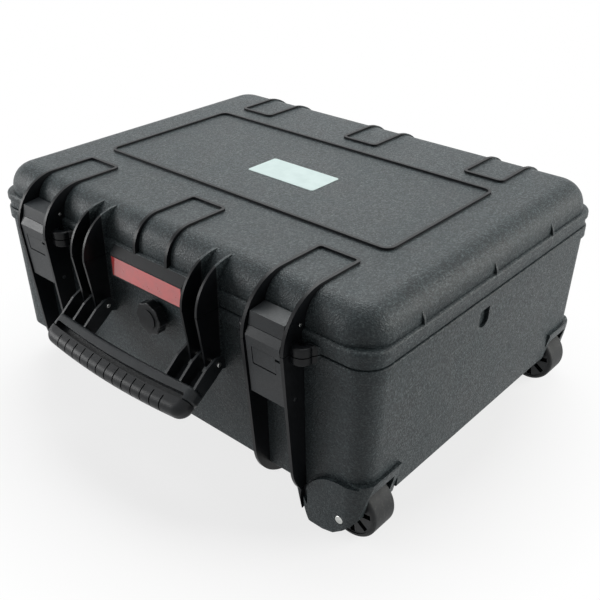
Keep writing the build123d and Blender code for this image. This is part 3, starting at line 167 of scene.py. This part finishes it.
def addBump(tree, shader, height, distance, under=None):
    bump = tree.nodes.new("ShaderNodeBump")
    bump.inputs["Strength"].default_value = 1.0
    bump.inputs["Distance"].default_value = distance
    tree.links.new(height, bump.inputs["Height"])
    if under is not None:
        tree.links.new(under, bump.inputs["Normal"])
    tree.links.new(bump.outputs["Normal"], shader.inputs["Normal"])
    return bump.outputs["Normal"]


# the smooth parts of a moulding: its raised lines, its ribs and fins,
# and what stands out in front or behind; their colour is painted darker, a painted shade for the
# dark reflections of their gloss
def smoothMask(tree, look):
    coords = tree.nodes.new("ShaderNodeTexCoord")
    split = tree.nodes.new("ShaderNodeSeparateXYZ")
    tree.links.new(coords.outputs["Object"], split.inputs["Vector"])
    x, y, z = (split.outputs[axis] for axis in "XYZ")
    edge = look["edge"]
    front = spread(tree, y, 1.0, 0.0, look["frontFrom"] - edge, look["frontFrom"])
    back = spread(tree, y, 0.0, 1.0, look["backFrom"], look["backFrom"] + edge)
    top = spread(tree, z, 0.0, 1.0, look["topFrom"], look["topFrom"] + edge)
    mask = combine(tree, "MAXIMUM", combine(tree, "MAXIMUM", front, back), top)
    half = combine(tree, "ABSOLUTE", x)
    lines = None
    for place in look["lines"]:
        off = combine(tree, "ABSOLUTE", combine(tree, "SUBTRACT", half, place))
        line = spread(tree, off, 1.0, 0.0, look["lineHalf"], look["lineHalf"] + edge)
        lines = line if lines is None else combine(tree, "MAXIMUM", lines, line)
    reach = spread(tree, y, 1.0, 0.0, look["linesFront"] - edge, look["linesFront"])
    return combine(tree, "MAXIMUM", mask, combine(tree, "MULTIPLY", lines, reach))


shellLook = {
    "dark": (24, 30, 33), "light": (38, 46, 49),           # screen colours
    # the wisp colour is a painted highlight, standing in for the sparkle of the grain
    "wispPaintedGlint": (104, 115, 117),
    "roughness": 0.43, "specular": 0.27,
    "wispScale": 520.0, "wispLength": 2.4,
    "wispTurns": ((12, 24, 33), (-20, 31, 118), (35, -14, 75)),
    "wispGlintShare": 0.7, "wispDepth": 0.00040,                # how far the wisps are painted light as a painted highlight, and how high
    "grainScale": 640.0, "grainDepth": 0.00034,            # per metre, and metres
    "patchScale": 22.0,
    # the smooth parts' colour is painted shade, darker than the plastic, standing in for dark
    # reflections
    "smoothPaintedShade": (15, 17, 20), "smoothRoughness": 0.36, "smoothSpecular": 0.2,
    "smoothGrain": 0.12,                                   # what the smooth parts keep of the grain
    "frontFrom": -0.1979, "backFrom": 0.2590, "topFrom": 0.2759, "edge": 0.0003,
    "lines": (0.02575, 0.16175, 0.21325),                  # raised lines, from the case's middle
    "lineHalf": 0.0020, "linesFront": -0.150,
}
baseLook = dict(shellLook, lines=(0.16175, 0.21325))


# moulded plastic with a leathery grain of short wisps, their light colour a painted highlight for
# the grain's sparkle
def mouldedPlastic(name, look):
    material, tree, shader = startMaterial(name, look["roughness"],
                                           Specular_IOR_Level=look["specular"])
    vector = placeOn(tree)
    wisps = None
    for turn in look["wispTurns"]:
        drawnOut = placeOn(tree, (look["wispLength"], 1, 1), turn)
        drawn = clouds(tree, drawnOut, look["wispScale"], 3.0, 0.6, 0.5)
        wisps = drawn if wisps is None else combine(tree, "MAXIMUM", wisps, drawn)
    grain = cells(tree, vector, look["grainScale"])
    patches = clouds(tree, vector, look["patchScale"], 6.0, 0.65, 0.4)
    flecks = clouds(tree, vector, look["patchScale"] * 6, 4.0, 0.6)
    tone = combine(tree, "ADD", spread(tree, patches, 0.0, 0.6), spread(tree, flecks, 0.0, 0.4))
    colour = ramp(tree, tone, [(0.2, screen(*look["dark"])), (0.8, screen(*look["light"]))])
    # painted highlight: the grain's wisps are coloured lighter to stand in for their sparkle
    colour = blendColours(tree, spread(tree, wisps, 0.0, look["wispGlintShare"], 0.54, 0.72), colour,
                          screen(*look["wispPaintedGlint"]))
    rough = combine(tree, "ADD",
                    spread(tree, patches, look["roughness"] - 0.05, look["roughness"] + 0.05),
                    spread(tree, wisps, 0.05, -0.08, 0.5, 0.75))
    height = wisps
    if "smoothPaintedShade" in look:
        smoothPaintedShade = smoothMask(tree, look)
        # painted shade: the smooth parts are coloured darker to stand in for the dark reflections
        # of their gloss
        colour = blendColours(tree, smoothPaintedShade, colour, screen(*look["smoothPaintedShade"]))
        change = look["smoothRoughness"] - look["roughness"]
        rough = combine(tree, "ADD", rough, spread(tree, smoothPaintedShade, 0.0, change, 0.0, 1.0))
        kept = spread(tree, smoothPaintedShade, 1.0, look["smoothGrain"], 0.0, 1.0)
        height = combine(tree, "MULTIPLY", wisps, kept)
        grain = combine(tree, "MULTIPLY", grain, kept)
        tree.links.new(spread(tree, smoothPaintedShade, look["specular"], look["smoothSpecular"], 0.0, 1.0),
                       shader.inputs["Specular IOR Level"])
    tree.links.new(colour, shader.inputs["Base Color"])
    tree.links.new(rough, shader.inputs["Roughness"])
    normal = addBump(tree, shader, height, look["wispDepth"])
    addBump(tree, shader, grain, look["grainDepth"], normal)
    return material


fittingLook = {
    # the wisp colour is a painted highlight on the grain
    "dark": (27, 30, 33), "light": (36, 40, 43), "wispPaintedGlint": (66, 71, 74),
    "roughness": 0.38, "specular": 0.3,
    "wispScale": 700.0, "wispLength": 4.0, "wispTurns": ((10, 20, 70), (-25, 30, 160)),
    "wispGlintShare": 0.25, "wispDepth": 0.00005,
    "grainScale": 1300.0, "grainDepth": 0.00005,
    "patchScale": 40.0,
}
knobLook = dict(fittingLook, dark=(17, 19, 21), light=(24, 26, 28), wispPaintedGlint=(44, 47, 49))
lidPlastic = mouldedPlastic("lidPlastic", shellLook)
basePlastic = mouldedPlastic("basePlastic", baseLook)
fittingPlastic = mouldedPlastic("fittingPlastic", fittingLook)
knobPlastic = mouldedPlastic("knobPlastic", knobLook)
print("plastics mixed")


def rubber(name, look):
    material, tree, shader = startMaterial(name, look["roughness"],
                                           Specular_IOR_Level=look["specular"])
    vector = placeOn(tree)
    fine = clouds(tree, vector, look["fineScale"], 4.0)
    patches = clouds(tree, vector, look["patchScale"], 5.0)
    dusty = clouds(tree, vector, look["patchScale"] * 6, 6.0, 0.72)
    base = ramp(tree, patches, [(0.3, screen(*look["dark"])), (0.7, screen(*look["light"]))])
    dustiness = spread(tree, dusty, 0.0, look["dust"], 0.52, 0.75)
    base = blendColours(tree, dustiness, base, screen(*look["dusty"]))
    tree.links.new(base, shader.inputs["Base Color"])
    tree.links.new(spread(tree, patches, look["roughness"] - 0.07, look["roughness"] + 0.07),
                   shader.inputs["Roughness"])
    addBump(tree, shader, fine, look["fineDepth"])
    return material


gripLook = {
    "dark": (14, 16, 19), "light": (20, 23, 26), "dusty": (66, 70, 72), "dust": 0.12,
    "roughness": 0.42, "specular": 0.24,
    "patchScale": 30.0, "fineScale": 1500.0, "fineDepth": 0.00007,
}
tyreLook = {
    "dark": (36, 38, 40), "light": (50, 52, 53), "dusty": (104, 104, 100), "dust": 0.4,
    "roughness": 0.6, "specular": 0.3,
    "patchScale": 45.0, "fineScale": 900.0, "fineDepth": 0.00012,
}
sealLook = {
    "dark": (22, 23, 24), "light": (32, 33, 34), "dusty": (70, 70, 70), "dust": 0.1,
    "roughness": 0.55, "specular": 0.35,
    "patchScale": 60.0, "fineScale": 1800.0, "fineDepth": 0.00003,
}
gripRubber = rubber("gripRubber", gripLook)
tyreRubber = rubber("tyreRubber", tyreLook)
sealRubber = rubber("sealRubber", sealLook)
print("rubbers mixed")


def brushedMetal(name, look):
    material, tree, shader = startMaterial(name, look["roughness"], Metallic=1.0)
    brushed = clouds(tree, placeOn(tree, look["brush"]), look["brushScale"], 5.0)
    patches = clouds(tree, placeOn(tree), look["patchScale"], 3.0)
    base = ramp(tree, patches, [(0.3, screen(*look["dark"])), (0.7, screen(*look["light"]))])
    tree.links.new(base, shader.inputs["Base Color"])
    tree.links.new(spread(tree, brushed, look["roughness"] - 0.08, look["roughness"] + 0.1),
                   shader.inputs["Roughness"])
    addBump(tree, shader, brushed, look["brushDepth"])
    return material


pinLook = {
    "dark": (176, 178, 176), "light": (214, 215, 212), "roughness": 0.28,
    "brush": (20, 1, 1),                                   # how far the brushing is drawn out
    "brushScale": 1100.0, "brushDepth": 0.00002, "patchScale": 120.0,
}
tubeLook = dict(pinLook, dark=(160, 163, 166), light=(184, 186, 188), roughness=0.34,
                brush=(50, 1, 1))
blackedLook = dict(pinLook, dark=(58, 60, 63), light=(76, 78, 80), roughness=0.4)
pinSteel = brushedMetal("pinSteel", pinLook)
tubeMetal = brushedMetal("tubeMetal", tubeLook)
blackedSteel = brushedMetal("blackedSteel", blackedLook)
print("metals mixed")

foamLook = {
    # the pore colour is painted shade, the darkness inside the foam's open cells
    "dark": (40, 41, 44), "light": (52, 53, 56), "poreShade": (18, 18, 20),
    "roughness": 0.95, "specular": 0.1, "sheen": 0.15,
    "poreScale": 620.0, "poreDepth": 0.0008,
    "smaller": 2.3,                                        # how much finer the small pores are
    "patchScale": 18.0,
}


def openCellFoam(name, look):
    material, tree, shader = startMaterial(name, look["roughness"], Sheen_Weight=look["sheen"],
                                           Specular_IOR_Level=look["specular"])
    vector = placeOn(tree)
    pores = cells(tree, vector, look["poreScale"], "F1")
    small = cells(tree, vector, look["poreScale"] * look["smaller"], "F1")
    patches = clouds(tree, vector, look["patchScale"], 4.0)
    base = ramp(tree, patches, [(0.3, screen(*look["dark"])), (0.7, screen(*look["light"]))])
    # painted shade: the pores are coloured darker for the shade inside them
    poreShadeShare = combine(tree, "ADD", spread(tree, pores, 0.0, 0.5, 0.15, 0.7),
                       spread(tree, small, 0.0, 0.3, 0.2, 0.7))
    colour = blendColours(tree, poreShadeShare, base, screen(*look["poreShade"]))
    tree.links.new(colour, shader.inputs["Base Color"])
    normal = addBump(tree, shader, pores, look["poreDepth"])
    addBump(tree, shader, small, look["poreDepth"] / 2, normal)
    return material


blackFoam = openCellFoam("blackFoam", foamLook)

labelLook = {
    "dark": (204, 222, 220), "light": (214, 231, 229), "roughness": 0.4,
    "smoother": 0.05, "rougher": 0.05,                     # how far the roughness wanders
    "patchScale": 55.0, "patchDetail": 4.0, "fineScale": 700.0, "fineDepth": 0.00004,
    "sockets": {"Specular_IOR_Level": 0.4},
}
plateLook = {
    "dark": (208, 30, 30), "light": (226, 42, 40), "roughness": 0.3,
    "smoother": 0.04, "rougher": 0.06,
    "patchScale": 60.0, "patchDetail": 3.0, "fineScale": 1200.0, "fineDepth": 0.00001,
    "sockets": {"Coat_Weight": 1.0, "Coat_Roughness": 0.04, "Coat_IOR": 1.7},
}


def flatSheet(name, look):
    material, tree, shader = startMaterial(name, look["roughness"], **look["sockets"])
    vector = placeOn(tree)
    patches = clouds(tree, vector, look["patchScale"], look["patchDetail"])
    base = ramp(tree, patches, [(0.35, screen(*look["dark"])), (0.65, screen(*look["light"]))])
    tree.links.new(base, shader.inputs["Base Color"])
    tree.links.new(spread(tree, patches, look["roughness"] - look["smoother"],
                          look["roughness"] + look["rougher"]), shader.inputs["Roughness"])
    addBump(tree, shader, clouds(tree, vector, look["fineScale"]), look["fineDepth"])
    return material


labelVinyl = flatSheet("labelVinyl", labelLook)
plateEnamel = flatSheet("plateEnamel", plateLook)
print("foam, label and plate mixed")

finishes = {
    lidPlastic: ["lid_shell"],
    basePlastic: ["base_shell", "trolley_tray", "foot_front", "foot_back", "wheel_housing_front",
                  "wheel_housing_back"],
    fittingPlastic: ["latch_lever_left", "latch_lever_right", "latch_trigger_left",
                     "latch_trigger_right", "handle_frame", "wheel_hub_front", "wheel_hub_back",
                     "pull_grip", "pull_button"],
    knobPlastic: ["valve_knob", "valve_body"],
    gripRubber: ["handle_grip"],
    tyreRubber: ["wheel_tyre_front", "wheel_tyre_back", "foot_pads"],
    sealRubber: ["valve_seal", "lid_gasket"],
    pinSteel: ["hinge_pins", "handle_pins", "latch_strikers", "wheel_axles", "tray_screws"],
    blackedSteel: ["latch_pins"],
    tubeMetal: ["pull_outer_tubes", "pull_middle_tubes", "pull_inner_tubes"],
    blackFoam: ["base_foam", "lid_foam"],
    labelVinyl: ["lid_label"],
    plateEnamel: ["name_plate"],
}
for material, names in finishes.items():
    for name in names:
        for materialSlot in nodes[name].material_slots:
            materialSlot.material = material
print("finishes assigned")


def addPiece(name, mesh, material, body, node):
    for polygon in mesh.polygons:
        polygon.use_smooth = True
    mesh.materials.clear()
    mesh.materials.append(material)
    piece = bpy.data.objects.new(name, mesh)
    bpy.context.collection.objects.link(piece)
    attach(piece, body)
    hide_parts(node)
    return piece


mergeWithin = 1e-6                               # metres
keptMargin = 0.0002


# evenly meshed copy of a foam block, its cut edges rounded a little
def foamMesh(look):
    mesh = nodes[look["node"]].data.copy()
    work = bmesh.new()
    work.from_mesh(mesh)
    bmesh.ops.remove_doubles(work, verts=work.verts, dist=mergeWithin)
    work.to_mesh(mesh)
    work.free()
    block = bpy.data.objects.new("block", mesh)
    bpy.context.collection.objects.link(block)
    remesh = block.modifiers.new("remesh", "REMESH")
    remesh.mode = "VOXEL"
    remesh.voxel_size = look["voxel"]
    soften = block.modifiers.new("soften", "SMOOTH")
    soften.iterations = look["soften"]
    rounded = block.evaluated_get(bpy.context.evaluated_depsgraph_get())
    even = bpy.data.meshes.new_from_object(rounded)
    bpy.data.objects.remove(block)
    return even


# keeps a soft mesh a hair inside the space its block has
def keepInside(mesh, node):
    low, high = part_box(node)
    for vertex in mesh.vertices:
        for axis in range(3):
            vertex.co[axis] = min(max(vertex.co[axis], low[axis] + keptMargin),
                                  high[axis] - keptMargin)


linerLook = {
    "node": "base_foam", "voxel": 0.005, "soften": 3,
    "wander": 0.0009, "wanderScale": 30.0,       # the knife's path, metres and per metre
}


def makeLiner(look):
    mesh = foamMesh(look)
    outward = [vertex.normal.copy() for vertex in mesh.vertices]
    for vertex, normal in zip(mesh.vertices, outward):
        drift = wander.noise(vertex.co * look["wanderScale"])
        vertex.co -= normal * look["wander"] * (0.5 + drift)
    keepInside(mesh, look["node"])
    return addPiece("foamLiner", mesh, blackFoam, "base", look["node"])


crateLook = {
    "node": "lid_foam", "voxel": 0.004, "soften": 2,
    "pitch": 0.034, "depth": 0.013,              # between the peaks, and from peak to hollow
    "border": 0.012,                             # flat edge round the peaks
}


def makeCrate(look):
    mesh = foamMesh(look)
    low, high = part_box(look["node"])
    wave = 2 * math.pi / look["pitch"]
    middle = [(low[axis] + high[axis]) / 2 for axis in range(3)]
    for vertex in mesh.vertices:
        if vertex.co.z > low[2] + look["voxel"]:
            continue
        edge = min(vertex.co.x - low[0], high[0] - vertex.co.x,
                   vertex.co.y - low[1], high[1] - vertex.co.y)
        fade = min(max((edge - look["voxel"]) / look["border"], 0.0), 1.0)
        along = math.cos(wave * (vertex.co.x - middle[0]))
        across = math.cos(wave * (vertex.co.y - middle[1]) / 1.0)
        hollow = 0.5 - 0.5 * along * across
        vertex.co.z += look["depth"] * hollow * fade * fade * (3 - 2 * fade)
    keepInside(mesh, look["node"])
    return addPiece("foamCrate", mesh, blackFoam, "lid", look["node"])


makeLiner(linerLook)
print("base foam cut")
makeCrate(crateLook)
print("lid foam cut")

sealRing = {
    "node": "lid_gasket",
    "corner": 0.0242,                            # middle of the cord round a corner of the case
    "cornerSteps": 12, "sideSteps": 40, "roundSteps": 24,
    "flutes": 3, "fluteDepth": 0.12,             # lips along the cord, as a share of its radius
}


# middle line of the ring, as points with the direction out of the case
def ringLine(look):
    low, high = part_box(look["node"])
    radius = (high[2] - low[2]) / 2
    middle = Vector(((low[0] + high[0]) / 2, (low[1] + high[1]) / 2, (low[2] + high[2]) / 2))
    halfX = (high[0] - low[0]) / 2 - radius - look["corner"]
    halfY = (high[1] - low[1]) / 2 - radius - look["corner"]
    line = []
    centres = ((halfX, halfY), (-halfX, halfY), (-halfX, -halfY), (halfX, -halfY))
    for turn, (x, y) in enumerate(centres):
        for step in range(look["cornerSteps"] + 1):
            angle = math.pi / 2 * (turn + step / look["cornerSteps"])
            out = Vector((math.cos(angle), math.sin(angle), 0))
            line.append((middle + Vector((x, y, 0)) + out * look["corner"], out))
        following = Vector((*centres[(turn + 1) % 4], 0)) + middle + out * look["corner"]
        for step in range(1, look["sideSteps"]):
            line.append((line[-1][0].lerp(following, 1 / (look["sideSteps"] + 1 - step)), out))
    return line, radius


def makeSeal(look):
    line, radius = ringLine(look)
    work = bmesh.new()
    rings = []
    for point, out in line:
        ring = []
        for step in range(look["roundSteps"]):
            angle = 2 * math.pi * step / look["roundSteps"]
            lip = 0.5 - 0.5 * math.cos(look["flutes"] * (angle + math.pi / 2))
            reach = radius * (1 - look["fluteDepth"] * lip)
            ring.append(work.verts.new(point + out * reach * math.cos(angle)
                                       + Vector((0, 0, reach * math.sin(angle)))))
        rings.append(ring)
    for index, ring in enumerate(rings):
        after = rings[(index + 1) % len(rings)]
        for step in range(look["roundSteps"]):
            ahead = (step + 1) % look["roundSteps"]
            work.faces.new((ring[step], ring[ahead], after[ahead], after[step]))
    bmesh.ops.recalc_face_normals(work, faces=work.faces)
    mesh = bpy.data.meshes.new("sealRing")
    work.to_mesh(mesh)
    work.free()
    return addPiece("sealRing", mesh, sealRubber, "lid", look["node"])


makeSeal(sealRing)
print("seal laid in its groove")

studio = {
    "skyFill": 0.10,                             # the sky's light, while it is seen as white
    "floorSize": 8.0, "floorRoughness": 0.9, "floorSpecular": 0.1,
    "floorPaper": 0.86, "floorBounce": 0.16,     # seen, and as it throws light back
    "glowNear": 0.76, "glowFar": 1.0,            # share of plain white, by the case and far off
    "near": 0.30, "far": 0.48,                   # metres from the middle of the case
    "lamps": [
        # name, place, aim, size, watts, colour
        ("topLamp", (-0.7, 0.9, 2.2), (0, 0, 0.2), 2.2, 44.0, (0.97, 1.0, 1.0)),
        ("endLamp", (1.9, 1.3, 0.9), (0.2, 0, 0.1), 1.4, 37.0, (1.0, 0.99, 0.95)),
        ("frontLamp", (-1.3, -1.1, 0.6), (-0.25, 0, 0.1), 0.9, 17.0, (1.0, 1.0, 1.0)),
    ],
}


# 1 for what the camera sees, also in metal and glass, and 0 for light on the case
def seenDirectly(tree):
    path = tree.nodes.new("ShaderNodeLightPath")
    mirrored = combine(tree, "MAXIMUM", path.outputs["Is Glossy Ray"],
                       path.outputs["Is Transmission Ray"])
    return combine(tree, "MAXIMUM", path.outputs["Is Camera Ray"], mirrored)


def makeSky(look):
    world = bpy.data.worlds.new("sky")
    bpy.context.scene.world = world
    world.use_nodes = True
    tree = world.node_tree
    background = tree.nodes["Background"]
    background.inputs["Color"].default_value = (1, 1, 1, 1)
    strength = spread(tree, seenDirectly(tree), look["skyFill"], 1.0, 0.0, 1.0)
    tree.links.new(strength, background.inputs["Strength"])


def makeFloor(look):
    mesh = bpy.data.meshes.new("floor")
    work = bmesh.new()
    bmesh.ops.create_grid(work, x_segments=8, y_segments=8, size=look["floorSize"])
    work.to_mesh(mesh)
    work.free()
    floor = bpy.data.objects.new("floor", mesh)
    bpy.context.collection.objects.link(floor)
    material = bpy.data.materials.new("floorPaper")
    material.use_nodes = True
    tree = material.node_tree
    paper = tree.nodes["Principled BSDF"]
    paper.inputs["Roughness"].default_value = look["floorRoughness"]
    paper.inputs["Specular IOR Level"].default_value = look["floorSpecular"]
    seen = seenDirectly(tree)
    shade = blendColours(tree, seen, (look["floorBounce"],) * 3 + (1.0,),
                         (look["floorPaper"],) * 3 + (1.0,))
    tree.links.new(shade, paper.inputs["Base Color"])
    glow = tree.nodes.new("ShaderNodeEmission")
    glow.inputs["Color"].default_value = (1, 1, 1, 1)
    coords = tree.nodes.new("ShaderNodeTexCoord")
    away = tree.nodes.new("ShaderNodeVectorMath")
    away.operation = "LENGTH"
    tree.links.new(coords.outputs["Object"], away.inputs[0])
    share = spread(tree, away.outputs["Value"], look["glowNear"], look["glowFar"],
                   look["near"], look["far"])
    both = tree.nodes.new("ShaderNodeMixShader")
    tree.links.new(combine(tree, "MULTIPLY", share, seen), both.inputs["Fac"])
    tree.links.new(paper.outputs["BSDF"], both.inputs[1])
    tree.links.new(glow.outputs["Emission"], both.inputs[2])
    tree.links.new(both.outputs["Shader"], tree.nodes["Material Output"].inputs["Surface"])
    mesh.materials.append(material)


def makeLamp(name, place, aim, size, watts, colour):
    data = bpy.data.lights.new(name, "AREA")
    data.shape = "DISK"
    data.size = size
    data.energy = watts
    data.color = colour
    lamp = bpy.data.objects.new(name, data)
    lamp.location = place
    lamp.rotation_euler = (Vector(aim) - Vector(place)).to_track_quat("-Z", "Y").to_euler()
    bpy.context.collection.objects.link(lamp)


makeSky(studio)
makeFloor(studio)
for lamp in studio["lamps"]:
    makeLamp(*lamp)
bpy.context.scene.view_settings.view_transform = "Standard"
print("studio lit")
